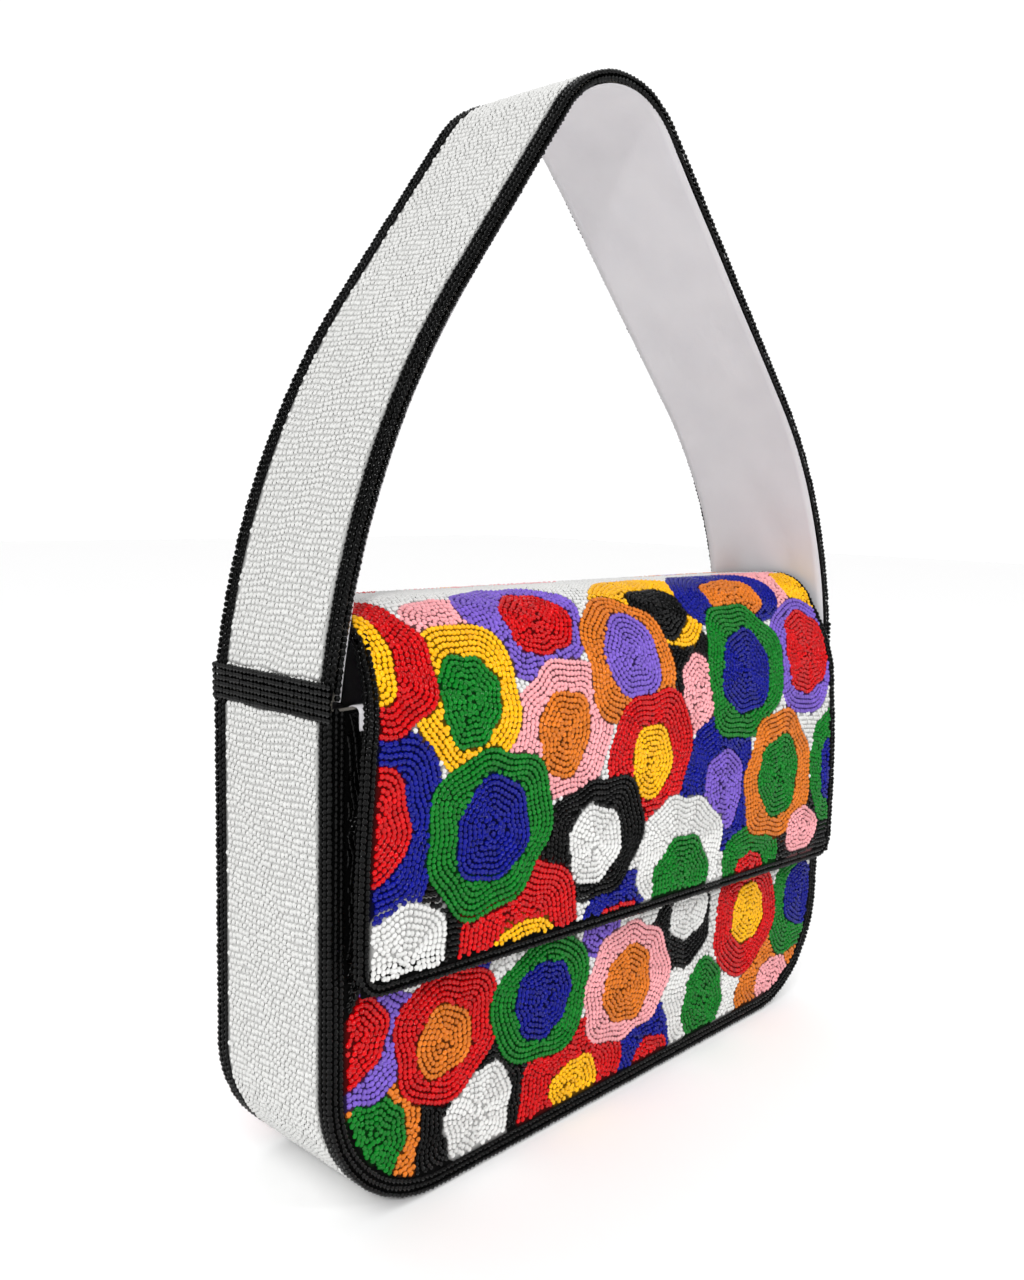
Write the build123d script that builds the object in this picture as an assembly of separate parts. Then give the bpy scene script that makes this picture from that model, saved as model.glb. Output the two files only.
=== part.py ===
# Beaded flap bag with one wide shoulder strap.
# Frame: X across the bag, +Y to its back, +Z up. Origin: centre of the base, on the surface it stands on.
# Every wall is three layers: bead cloth outside, a stiff board, and a satin lining inside.

from build123d import *
from math import atan2, cos, hypot, radians, sin, tan
import os

# --- Driving sizes, millimetres -------------------------------------------------------------------

bag_width = 260.0
bag_depth = 56.0
seam_height = 152.0          # top of the gusset, where the strap is sewn on
corner_radius = 42.0         # lower corners of the front and back panels
front_drop = 2.0             # from the seam down to the front panel's top edge

bead_layer = 2.0             # seed beads sewn on their backing cloth
board = 1.6                  # stiffener
satin = 0.8                  # lining cloth
edge_on_panel = 6.0          # black bead rows round a panel's face
edge_on_gusset = 5.5         # black bead rows on the gusset beside it
edge_on_strap = 5.5
seam_band = 10.0             # height of the black bead band over the strap seam
seam_band_proud = 0.6

flap_bottom = 66.0           # height of the flap's lower edge
flap_stand_off = 8.0         # from the front panel's face to the flap's outer face
shoulder_drop = 2.0          # below the seam, where the flap starts to bend over the top
crest_rise = 26.6            # from the seam to the top of the flap
crest_set_back = 8.0         # from the front panel's face to the top of the flap
back_fall = 3.4              # how much lower the back of the flap is than its crest
flap_side_gap = 4.0          # how much narrower the flap is than the bag, on each side
flare_drop = 12.0            # this far below the seam the flap has its full width
flap_corner = 9.0
flap_edge = 4.5              # black bead rows round the flap
crest_radius = 22.0
shoulder_radius = 50.0
back_fold_radius = 3.0
front_fold_from_crest = 16.0  # along the slope, to the line where the front of the flap lifts

strap_lean = 6.8             # degrees, inward lean of both legs at the seam
strap_rise = 206.4           # from the seam to the point where the lines of the two flanks meet
strap_peak_x = -18.7         # the strap stands a little to the left
leg_left = 65.0              # length of the leg's first straight run, before it bends inward
leg_right = 56.0
leg_left_radius = 240.0
leg_right_radius = 165.0
peak_radius = 36.0
strap_edge_setback = 1.0     # the strap's lining stops short of its edge

snap_lift = 18.0             # from the flap's lower edge to the middle of the snap
snap_radius = 7.0
snap_socket_thick = 2.2
snap_stud_thick = 1.1
snap_boss_radius = 3.0
snap_boss_long = 1.2
snap_boss_play = 1.0
snap_shank_radius = 1.6
snap_washer_radius = 7.5
snap_washer_thick = 0.8

pocket_width = 130.0
pocket_height = 82.0
pocket_bottom = 46.0
pocket_gap = 1.4             # room inside the slip pocket
pocket_seam = 4.0
binding_height = 6.0
binding_thick = 0.5
base_board_thick = 1.6
base_board_gap = 1.5         # round the base board

# --- Clearances -----------------------------------------------------------------------------------

fold_gap = 0.4               # between two bodies at a fold line
hinge_out = 0.6              # how far a fold's axis stands outside the cloth
slide_gap = 0.8              # flap between the legs of the strap
hole_gap = 0.1               # shank in its hole
soft_gap = 0.3               # between soft pieces on different bodies

# --- Worked out from the sizes above --------------------------------------------------------------

half_width = bag_width / 2
half_depth = bag_depth / 2
front_top = seam_height - front_drop
wall = bead_layer + board + satin
under_beads = bead_layer
under_board = bead_layer + board
strap_foot = seam_height + fold_gap
band_low = seam_height - seam_band / 2
band_high = seam_height + seam_band / 2
flap_front_y = -half_depth - flap_stand_off
flap_inner_y = flap_front_y + wall
flap_shoulder = seam_height - shoulder_drop
flap_crest_y = -half_depth + crest_set_back
flap_crest = seam_height + crest_rise
flap_back_top = flap_crest - back_fall
flap_half = half_width - flap_side_gap
flare_height = seam_height - flare_drop
snap_height = flap_bottom + snap_lift
strap_peak = seam_height + strap_rise
lean_at_crown = crest_rise * tan(radians(strap_lean)) + crest_rise ** 2 / (2 * leg_right_radius)
crown_half = half_width - wall - lean_at_crown - slide_gap
far = 2 * bag_width           # longer than anything it cuts


# --- Small helpers --------------------------------------------------------------------------------

def plate(face, y_low, y_high):
    # A face drawn in X and Z, made solid from y_low to y_high.
    return extrude(Plane.XZ.offset(-y_high) * face, amount=y_high - y_low, dir=(0, -1, 0))


def block(x_low, x_high, y_low, y_high, z_low, z_high):
    size = (x_high - x_low, y_high - y_low, z_high - z_low)
    middle = ((x_low + x_high) / 2, (y_low + y_high) / 2, (z_low + z_high) / 2)
    return Pos(*middle) * Box(*size)


def disc(radius, y_low, y_high, height):
    # A round piece whose axis runs front to back, on the centre line of the bag.
    turned = Rot(90, 0, 0) * Cylinder(radius, y_high - y_low)
    return Pos(0, (y_low + y_high) / 2, height) * turned


def panel_face(inset, top):
    # Outline of a panel, with rounded lower corners and a straight top edge.
    height = top - inset
    face = Pos(0, inset + height / 2) * Rectangle(bag_width - 2 * inset, height)
    return fillet(face.vertices().group_by(Axis.Y)[0], corner_radius - inset)


def band_face(outer, inner, top):
    # The gusset's section: down one side, along the base and up the other.
    return panel_face(outer, top) - panel_face(inner, top)


def crossing(p, u, q, v):
    # Where the line through p along u meets the line through q along v.
    reach = ((q[0] - p[0]) * v[1] - (q[1] - p[1]) * v[0]) / (u[0] * v[1] - u[1] * v[0])
    return (p[0] + reach * u[0], p[1] + reach * u[1])


def route(points, radii, depth):
    # A filleted line that keeps a given depth to the right of the line through the points.
    # Each radius is limited by the runs beside it, so that the arcs always fit.
    runs = []
    for (x0, y0), (x1, y1) in zip(points, points[1:]):
        length = hypot(x1 - x0, y1 - y0)
        runs.append(((x1 - x0) / length, (y1 - y0) / length, length))
    shifted = [(x + depth * uy, y - depth * ux) for (x, y), (ux, uy, _) in zip(points, runs)]
    corners = [shifted[0]]
    bends = []
    for i in range(1, len(runs)):
        before, after = runs[i - 1], runs[i]
        corners.append(crossing(shifted[i - 1], before[:2], shifted[i], after[:2]))
        across = before[0] * after[1] - before[1] * after[0]
        along = before[0] * after[0] + before[1] * after[1]
        turn = abs(atan2(across, along))
        room_before = before[2] * (0.98 if i == 1 else 0.49)
        room_after = after[2] * (0.98 if i == len(runs) - 1 else 0.49)
        radius = min(radii[i - 1], min(room_before, room_after) / tan(turn / 2))
        bends.append(max(radius - depth, soft_gap))
    last = runs[-1]
    corners.append((points[-1][0] + depth * last[1], points[-1][1] - depth * last[0]))
    return FilletPolyline(*corners, radius=bends)


def layer_face(points, radii, depth_near, depth_far):
    # The strip between two depths under a line.
    near = route(points, radii, depth_near)
    deep = route(points, radii, depth_far)
    ends = [Line(near @ 0, deep @ 0), Line(near @ 1, deep @ 1)]
    return make_face(near.edges() + deep.edges() + ends)


def save(name, shape):
    export_step(shape, f"parts/{name}.step")


# --- Flap lines -----------------------------------------------------------------------------------

flap_points = [
    (flap_front_y, flap_bottom),
    (flap_front_y, flap_shoulder),
    (flap_crest_y, flap_crest),
    (half_depth, flap_back_top),
    (half_depth, seam_height),
]
flap_radii = [shoulder_radius, crest_radius, back_fold_radius]

slope_y = flap_front_y - flap_crest_y
slope_z = flap_shoulder - flap_crest
slope_length = hypot(slope_y, slope_z)
slope = (slope_y / slope_length, slope_z / slope_length)
fold_y = flap_crest_y + front_fold_from_crest * slope[0]
fold_z = flap_crest + front_fold_from_crest * slope[1]
front_fold = Plane(origin=(0, fold_y, fold_z), x_dir=(1, 0, 0), z_dir=(0, slope[0], slope[1]))
back_fold = Plane(origin=(0, half_depth, flap_back_top), x_dir=(1, 0, 0), z_dir=(0, -1, 1))

front_hinge = (0, fold_y + hinge_out * slope[1], fold_z - hinge_out * slope[0])
back_hinge = (0, half_depth + hinge_out / 2 ** 0.5, flap_back_top + hinge_out / 2 ** 0.5)


def flap_layer(depth_near, depth_far):
    face = layer_face(flap_points, flap_radii, depth_near, depth_far)
    return extrude(Plane.YZ * face, amount=half_width, both=True)


def flap_outline(inset):
    # Front view of the flap: narrow between the legs of the strap, full width where it hangs in front.
    side = flap_half - inset
    neck = crown_half - inset
    low = flap_bottom + inset
    corners = [(-side, low), (side, low), (side, flare_height), (neck, fold_z), (neck, far)]
    mirrored = [(-neck, far), (-neck, fold_z), (-side, flare_height)]
    face = make_face(Polyline(*corners, *mirrored, close=True))
    return fillet(face.vertices().group_by(Axis.Y)[0], flap_corner - inset)


def crown_part(layer):
    # From the back panel over the top, as far as the line where the front lifts.
    ahead = split(layer, bisect_by=back_fold.offset(fold_gap / 2), keep=Keep.TOP)
    crown = split(ahead, bisect_by=front_fold.offset(-fold_gap / 2), keep=Keep.BOTTOM)
    return crown & block(-crown_half, crown_half, -far, half_depth, flap_shoulder, far)


def front_part(layer, outline):
    hanging = split(layer, bisect_by=front_fold.offset(fold_gap / 2), keep=Keep.TOP)
    return hanging & plate(outline, -far, 0)


# --- Strap lines ----------------------------------------------------------------------------------

lean = radians(strap_lean)


def strap_points():
    # The line starts a little below the seam, so that it can be cut level there.
    below = 2 * wall
    left = (-half_width - below * sin(lean), seam_height - below * cos(lean))
    left_knee = (-half_width + leg_left * sin(lean), seam_height + leg_left * cos(lean))
    right_knee = (half_width - leg_right * sin(lean), seam_height + leg_right * cos(lean))
    right = (half_width + below * sin(lean), seam_height - below * cos(lean))
    return [left, left_knee, (strap_peak_x, strap_peak), right_knee, right]


strap_radii = [leg_left_radius, peak_radius, leg_right_radius]


def strap_layer(depth_near, depth_far, y_low, y_high, foot):
    face = layer_face(strap_points(), strap_radii, depth_near, depth_far)
    return plate(face, y_low, y_high) & block(-far, far, -far, far, foot, far)


def strap_edge(side):
    # Black bead rows that wrap the strap's edge: side is -1 for the front and 1 for the back.
    outer = side * half_depth
    inner = side * (half_depth - edge_on_strap)
    covered = side * (half_depth - under_beads)
    foot = band_high + fold_gap
    rows = strap_layer(0, bead_layer, min(outer, inner), max(outer, inner), foot)
    wrap = strap_layer(under_beads, under_board, min(outer, covered), max(outer, covered), foot)
    return rows + wrap


# --- Panels and gusset ----------------------------------------------------------------------------

def seam_bands():
    # Black bead bands that cover the seam between the gusset and the strap, one on each side.
    inner = half_width - bead_layer + soft_gap
    outer = half_width + seam_band_proud
    right = block(inner, outer, -half_depth, half_depth, band_low, band_high)
    return mirror(right, Plane.YZ), right


def edge_beads(side, top):
    # Black bead rows round a panel: on its face, and on the gusset beside it.
    outer = side * half_depth
    face_inner = side * (half_depth - bead_layer)
    gusset_inner = side * (half_depth - edge_on_gusset)
    on_face = plate(band_face(0, edge_on_panel, top), min(outer, face_inner), max(outer, face_inner))
    on_gusset = plate(band_face(0, bead_layer, top), min(outer, gusset_inner), max(outer, gusset_inner))
    beside_bands = half_width - bead_layer
    room = block(-far, far, -far, far, band_low, far)
    kept = block(-beside_bands, beside_bands, -far, far, 0, 2 * far)
    return on_face + on_gusset - (room - kept)


def panel_layers(side, top):
    # The three flat layers of a panel, from the outside in.
    depths = [
        (0, bead_layer, edge_on_panel),
        (under_beads, under_board, under_beads),
        (under_board, wall, under_board),
    ]
    layers = []
    for near, deep, inset in depths:
        outer, inner = side * (half_depth - near), side * (half_depth - deep)
        layers.append(plate(panel_face(inset, top), min(outer, inner), max(outer, inner)))
    return layers


def back_extension(layer, depth_near, depth_far):
    # The back panel runs on upward between the legs of the strap, to the line where the flap folds.
    y_low, y_high = half_depth - depth_far, half_depth - depth_near
    upper = block(-crown_half, crown_half, y_low, y_high, seam_height - binding_height, flap_back_top)
    return split(layer + upper, bisect_by=back_fold.offset(-fold_gap / 2), keep=Keep.BOTTOM)


def gusset_layers():
    bead_edge = half_depth - edge_on_gusset
    board_edge = half_depth - under_board
    beads = plate(band_face(0, under_beads, band_low), -bead_edge, bead_edge)
    stiff = plate(band_face(under_beads, under_board, seam_height), -board_edge, board_edge)
    lining_edge = half_depth - wall
    lining = plate(band_face(under_board, wall, seam_height), -lining_edge, lining_edge)
    return beads, stiff, lining


def slip_pocket():
    # A flat pocket sewn to the back lining on three sides, open at its top.
    back = half_depth - wall
    front = back - pocket_gap - satin
    half, top = pocket_width / 2, pocket_bottom + pocket_height
    outer = block(-half, half, front, back, pocket_bottom, top)
    room_half = half - pocket_seam
    room = block(-room_half, room_half, front + satin, back, pocket_bottom + pocket_seam, top)
    return outer - room


def mouth_binding():
    # A folded strip over the front panel's top edge, between the black edge rows.
    outer_y, inner_y = -half_depth, -half_depth + wall
    reach = half_width - wall - soft_gap
    low, high = front_top - binding_height, front_top + binding_thick
    outside = block(-reach, reach, outer_y - binding_thick, inner_y + binding_thick, low, high)
    return outside - block(-reach, reach, outer_y, inner_y, low, front_top)


def base_insert():
    # A stiff board that keeps the base flat, on the lining between the two rounded corners.
    reach = half_width - corner_radius - base_board_gap
    side = half_depth - wall - base_board_gap
    return block(-reach, reach, -side, side, wall, wall + base_board_thick)


# --- Magnetic snap --------------------------------------------------------------------------------

panel_y = -half_depth
panel_board_back = panel_y + under_board
flap_board_front = flap_front_y + bead_layer


def snap_socket():
    # Fixed to the front panel. The shank goes through the beads and the board.
    face_y = panel_y - snap_socket_thick
    cup = disc(snap_radius, face_y, panel_y, snap_height)
    hollow = disc(snap_boss_radius + snap_boss_play, face_y, face_y + snap_boss_long + fold_gap, snap_height)
    shank = disc(snap_shank_radius, panel_y, panel_board_back, snap_height)
    return cup - hollow + shank


def snap_stud():
    # Fixed to the flap. The boss drops into the socket when the flap is closed.
    face_y = flap_inner_y + snap_stud_thick
    plate_disc = disc(snap_radius, flap_inner_y, face_y, snap_height)
    boss = disc(snap_boss_radius, face_y, face_y + snap_boss_long, snap_height)
    shank = disc(snap_shank_radius, flap_board_front, flap_inner_y, snap_height)
    return plate_disc + boss + shank


def snap_washer(y_low, y_high):
    hole = disc(snap_shank_radius + hole_gap, y_low, y_high, snap_height)
    return disc(snap_washer_radius, y_low, y_high, snap_height) - hole


def shank_hole():
    return disc(snap_shank_radius + hole_gap, -far, 0, snap_height)


def washer_seat(y_low, y_high):
    return disc(snap_washer_radius + hole_gap, y_low, y_high, snap_height)


panel_washer = (panel_board_back - snap_washer_thick, panel_board_back)
flap_washer = (flap_board_front, flap_board_front + snap_washer_thick)

# --- Build every piece ----------------------------------------------------------------------------

os.makedirs("parts", exist_ok=True)

front_beads, front_board, front_lining = panel_layers(-1, front_top)
save("front_bead_cloth", front_beads - shank_hole())
save("front_stiffener", front_board - shank_hole() - washer_seat(*panel_washer))
save("front_lining", front_lining)
save("front_edge_beads", edge_beads(-1, front_top))

back_beads, back_board, back_lining = panel_layers(1, seam_height)
save("back_bead_cloth", back_extension(back_beads, 0, bead_layer))
save("back_stiffener", back_extension(back_board, under_beads, under_board))
save("back_lining", back_extension(back_lining, under_board, wall))
save("back_edge_beads", edge_beads(1, seam_height))

gusset_beads, gusset_board, gusset_lining = gusset_layers()
save("gusset_bead_cloth", gusset_beads)
save("gusset_stiffener", gusset_board)
save("gusset_lining", gusset_lining)

for side_name, band in zip(("left", "right"), seam_bands()):
    save(f"seam_bead_band_{side_name}", band)

save("slip_pocket", slip_pocket())
save("mouth_binding", mouth_binding())
save("base_board", base_insert())

save("snap_socket", snap_socket())
save("snap_socket_washer", snap_washer(*panel_washer))

crown_layers = {
    "crown_bead_cloth": (0, bead_layer),
    "crown_stiffener": (under_beads, under_board),
    "crown_lining": (under_board, wall),
}
for node, depths in crown_layers.items():
    save(node, crown_part(flap_layer(*depths)))

flap_board = front_part(flap_layer(under_beads, under_board), flap_outline(0))
flap_satin = front_part(flap_layer(under_board, wall), flap_outline(0))
save("flap_bead_cloth", front_part(flap_layer(0, bead_layer), flap_outline(flap_edge)))
save("flap_edge_beads", front_part(flap_layer(0, bead_layer), flap_outline(0) - flap_outline(flap_edge)))
save("flap_stiffener", flap_board - shank_hole() - washer_seat(*flap_washer))
save("flap_lining", flap_satin - shank_hole())
save("snap_stud", snap_stud())
save("snap_stud_washer", snap_washer(*flap_washer))

bead_edge = half_depth - edge_on_strap
board_edge = half_depth - under_beads
lining_edge = half_depth - strap_edge_setback
save("strap_bead_cloth", strap_layer(0, bead_layer, -bead_edge, bead_edge, band_high + fold_gap))
save("strap_stiffener", strap_layer(under_beads, under_board, -board_edge, board_edge, strap_foot))
save("strap_lining", strap_layer(under_board, wall, -lining_edge, lining_edge, strap_foot))
save("strap_edge_beads_front", strap_edge(-1))
save("strap_edge_beads_back", strap_edge(1))

print("front fold axis", front_hinge)
print("back fold axis", back_hinge)
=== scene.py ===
import math
import bpy
import numpy as np
from mathutils import Matrix, Vector


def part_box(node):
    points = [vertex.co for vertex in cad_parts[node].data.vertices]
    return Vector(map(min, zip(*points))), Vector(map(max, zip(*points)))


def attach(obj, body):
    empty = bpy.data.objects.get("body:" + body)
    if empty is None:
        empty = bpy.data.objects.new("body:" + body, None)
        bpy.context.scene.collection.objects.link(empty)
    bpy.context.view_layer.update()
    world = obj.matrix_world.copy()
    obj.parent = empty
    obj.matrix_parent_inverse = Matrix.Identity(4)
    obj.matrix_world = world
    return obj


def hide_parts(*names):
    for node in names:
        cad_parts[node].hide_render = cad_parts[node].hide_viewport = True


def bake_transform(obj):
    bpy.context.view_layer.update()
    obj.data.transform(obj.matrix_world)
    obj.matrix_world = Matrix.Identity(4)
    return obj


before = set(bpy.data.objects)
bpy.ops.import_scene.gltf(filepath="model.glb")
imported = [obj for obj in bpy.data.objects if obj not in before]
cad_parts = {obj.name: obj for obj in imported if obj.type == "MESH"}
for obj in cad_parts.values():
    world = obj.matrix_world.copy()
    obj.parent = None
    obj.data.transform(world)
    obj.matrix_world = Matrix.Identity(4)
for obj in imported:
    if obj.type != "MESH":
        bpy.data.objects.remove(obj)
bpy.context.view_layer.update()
mm = 0.001
dice = np.random.default_rng(7)
print("frame loaded:", len(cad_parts), "nodes")


# Sizes of the bag in millimetres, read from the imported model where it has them

def edgesOf(node):
    low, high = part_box(node)
    return np.array(low) / mm, np.array(high) / mm


gussetHigh = edgesOf("gusset_bead_cloth")[1]
edgeLow, edgeHigh = edgesOf("front_edge_beads")
backHigh = edgesOf("back_edge_beads")[1]
flapLow, flapHigh = edgesOf("flap_edge_beads")
crownHigh = edgesOf("crown_bead_cloth")[1]

bag = {
    "half": gussetHigh[0],            # half the width
    "front": edgeLow[1],              # face of the front panel
    "back": backHigh[1],
    "seam": backHigh[2],              # where strap and gusset meet
    "frontTop": edgeHigh[2],
    "corner": 42.0,                   # radius of the lower corners
    "edgeRows": 6.0,                  # width of the black rows on a panel
}
flap = {
    "face": flapLow[1],
    "bottom": flapLow[2],
    "half": flapHigh[0],
    "crownHalf": crownHigh[0],
    "crest": (-20.0, 178.6),          # corners of the side profile, before rounding
    "backTop": 175.2,
    "shoulder": 150.0,
    "radii": (50.0, 22.0, 3.4),
    "skew": 0.044,                    # the lower edge hangs a little lower on the right
    "edge": 4.0,                      # width of its black rows
    "corner": 9.0,
    "flare": 140.0,
}
strap = {
    "lean": math.radians(6.8),
    "peak": (-18.7, 358.4),
    "legs": (65.0, 56.0),
    "radii": (240.0, 36.0, 165.0),
}
beads = {"across": 2.02, "along": 1.62, "rows": 1.88, "pitch": 1.72, "closest": 1.38, "gap": 1.5}

palette = {
    "red": "CC0209", "yellow": "FFB90C", "green": "04771F", "blue": "050F86", "pink": "F2A6AB",
    "violet": "7A5CC4", "tan": "D9761F", "white": "DFDFDD", "black": "020202",
}
colours = list(palette)


# Lines with rounded corners

def roundedLine(corners, radii, step=0.25):
    corners = [np.array(c, float) for c in corners]
    track = [corners[0]]
    for i, radius in enumerate(radii, start=1):
        back = corners[i - 1] - corners[i]
        ahead = corners[i + 1] - corners[i]
        back, ahead = back / np.linalg.norm(back), ahead / np.linalg.norm(ahead)
        opening = math.acos(np.clip(back @ ahead, -1, 1))
        reach = radius / math.tan(opening / 2)
        middle = (back + ahead) / np.linalg.norm(back + ahead)
        centre = corners[i] + middle * radius / math.sin(opening / 2)
        first = corners[i] + back * reach - centre
        last = corners[i] + ahead * reach - centre
        turn = math.atan2(first[0] * last[1] - first[1] * last[0], first @ last)
        parts = max(4, int(abs(turn) * radius / step))
        for k in range(parts + 1):
            a = turn * k / parts
            c, s = math.cos(a), math.sin(a)
            track.append(centre + np.array([first[0] * c - first[1] * s, first[0] * s + first[1] * c]))
    track.append(corners[-1])
    dense = [track[0]]
    for a, b in zip(track, track[1:]):
        parts = max(1, int(np.linalg.norm(b - a) / step))
        dense += [a + (b - a) * k / parts for k in range(1, parts + 1)]
    dense = np.array(dense)
    steps = np.linalg.norm(np.diff(dense, axis=0), axis=1)
    keep = np.concatenate([[True], steps > 1e-6])
    dense = dense[keep]
    lengths = np.concatenate([[0], np.cumsum(np.linalg.norm(np.diff(dense, axis=0), axis=1))])
    return {"at": lengths, "points": dense, "total": lengths[-1]}


def onLine(line, s):
    # Position and unit direction at distance s along a line
    s = np.asarray(s, float)
    here = np.stack([np.interp(s, line["at"], line["points"][:, k]) for k in (0, 1)], -1)
    near = np.clip(s, 0.4, line["total"] - 0.4)
    before = np.stack([np.interp(near - 0.4, line["at"], line["points"][:, k]) for k in (0, 1)], -1)
    after = np.stack([np.interp(near + 0.4, line["at"], line["points"][:, k]) for k in (0, 1)], -1)
    way = after - before
    way /= np.linalg.norm(way, axis=-1, keepdims=True)
    over = np.maximum(s - line["total"], 0) + np.minimum(s, 0)
    return here + way * over[..., None], way


# The four surfaces that carry beads. Each takes distances in millimetres and a depth below the outer face,
# and gives places, outward normals and the two directions along the surface.

clothStart = flap["bottom"]
clothLine = roundedLine(
    [(flap["face"], clothStart), (flap["face"], flap["shoulder"]), flap["crest"],
     (bag["back"], flap["backTop"]), (bag["back"], 0.0)], flap["radii"])


def clothPlace(u, v, depth):
    # Flap, top and back panel are one cloth: u is across, v the distance up the flap and over
    at, way = onLine(clothLine, v - clothStart)
    normal = np.stack([-way[:, 1], way[:, 0]], -1)
    sag = 3.0 * (u / flap["half"]) * np.exp(-((v - 148.0) / 30.0) ** 2)
    at = at - normal * np.asarray(depth)[..., None] * np.ones((len(u), 1))
    places = np.stack([u, at[:, 0] + sag, at[:, 1]], -1)
    zero = np.zeros(len(u))
    return places, np.stack([zero, normal[:, 0], normal[:, 1]], -1), \
        np.stack([zero + 1, zero, zero], -1), np.stack([zero, way[:, 0], way[:, 1]], -1)


def puff(u, v):
    # The stuffed front panel swells a little between its edges
    return 1.1 * np.clip(1 - (u / bag["half"]) ** 2, 0, 1) * np.clip(1 - ((v - 76) / 76) ** 2, 0, 1)


def frontPlace(u, v, depth):
    zero = np.zeros(len(u))
    places = np.stack([u, bag["front"] + depth - puff(u, v), v], -1)
    return places, np.stack([zero, zero - 1, zero], -1), np.stack([zero + 1, zero, zero], -1), \
        np.stack([zero, zero, zero + 1], -1)


def bandLine(inset, top):
    side = bag["half"] - inset
    return roundedLine([(-side, top), (-side, inset), (side, inset), (side, top)],
                       [bag["corner"] - inset] * 2)


def strapLine(depth):
    # Two legs that lean inward, two flanks, and a narrow bend at the peak
    lean, (px, pz), (left, right) = strap["lean"], strap["peak"], strap["legs"]
    half, seam = bag["half"], bag["seam"]
    corners = [(-half, seam), (-half + left * math.sin(lean), seam + left * math.cos(lean)), (px, pz),
               (half - right * math.sin(lean), seam + right * math.cos(lean)), (half, seam)]
    outer = roundedLine(corners, strap["radii"])
    if depth == 0:
        return outer
    at, way = onLine(outer, outer["at"])
    inner = at + np.stack([way[:, 1], -way[:, 0]], -1) * depth
    lengths = np.concatenate([[0], np.cumsum(np.linalg.norm(np.diff(inner, axis=0), axis=1))])
    return {"at": lengths, "points": inner, "total": lengths[-1]}


def swept(line, u, v, side):
    # A band that is swept front to back: side is 1 where its outer face is on the left of the line
    at, way = onLine(line, v)
    zero = np.zeros(len(u))
    places = np.stack([at[:, 0], u, at[:, 1]], -1)
    normals = np.stack([-way[:, 1] * side, zero, way[:, 0] * side], -1)
    return places, normals, np.stack([zero, zero + 1, zero], -1), np.stack([way[:, 0], zero, way[:, 1]], -1)


# Flowers, in millimetres: across and up the cloth, half width, half height. Later ones lie over earlier ones.

def blob(x, y, w, h, colour, seed):
    return {"x": x, "y": y, "w": w, "h": h, "colour": colours.index(colour), "petals": 5 + int(seed * 7) % 4,
            "turns": (seed * 2.4 % 6.28, seed * 4.1 % 6.28)}


def flowers(rows):
    made = []
    for i, (ring, x, y, w, h, eye, ex, ey, ew, eh) in enumerate(rows):
        made.append((blob(x, y, w, h, ring, i), blob(ex, ey, ew, eh, eye, i + 0.5) if eye else None))
    return made


flapFlowers = [
    ("pink", -80, 172, 22, 13, None, 0, 0, 0, 0),
    ("black", 24, 145, 17, 21, "pink", 28, 139, 11, 15),
    ("pink", 95, 183, 22, 19, None, 0, 0, 0, 0),
    ("yellow", 119, 176, 17, 14, None, 0, 0, 0, 0),
    ("yellow", 14, 175, 30, 18, "black", 15, 171, 15, 11),
    ("blue", 61, 178, 32, 18, "tan", 65, 175, 18, 10),
    ("violet", -53, 172, 26, 19, "red", -48, 172, 15, 12),
    ("pink", -46, 136, 24, 22, "tan", -46, 135, 12, 14),
    ("tan", -10, 155, 23, 23, "violet", -8, 156, 14, 15),
    ("violet", 103, 147, 23, 24, "red", 105, 148, 16, 17),
    ("blue", 41, 104, 23, 27, "violet", 44, 102, 12, 15),
    ("green", 59, 145, 26, 26, "blue", 59, 144, 16, 16),
    ("red", 0, 121, 23, 23, "yellow", 0, 119, 11, 13),
    ("blue", -15, 71, 19, 12, "red", -17, 67, 12, 6),
    ("white", 18, 83, 25, 21, "green", 19, 74, 17, 15),
    ("black", -29, 98, 26, 20, "white", -29, 96, 13, 13),
    ("red", -63, 77, 27, 20, "yellow", -62, 70, 13, 9),
    ("green", 63, 70, 19, 15, "red", 63, 65, 11, 9),
    ("green", 120, 100, 14, 23, "blue", 124, 98, 9, 14),
    ("tan", 82, 101, 24, 25, "green", 82, 101, 14, 16),
    ("blue", -119, 118, 23, 29, "red", -123, 119, 14, 17),
    ("yellow", -86, 151, 21, 23, "green", -86, 150, 12, 14),
    ("red", -119, 165, 22, 23, "yellow", -124, 166, 14, 15),
    ("green", -77, 110, 26, 25, "blue", -76, 110, 15, 16),
    ("white", -111, 79, 18, 16, None, 0, 0, 0, 0),
    ("pink", 101, 76, 12, 9, None, 0, 0, 0, 0),
]
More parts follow.
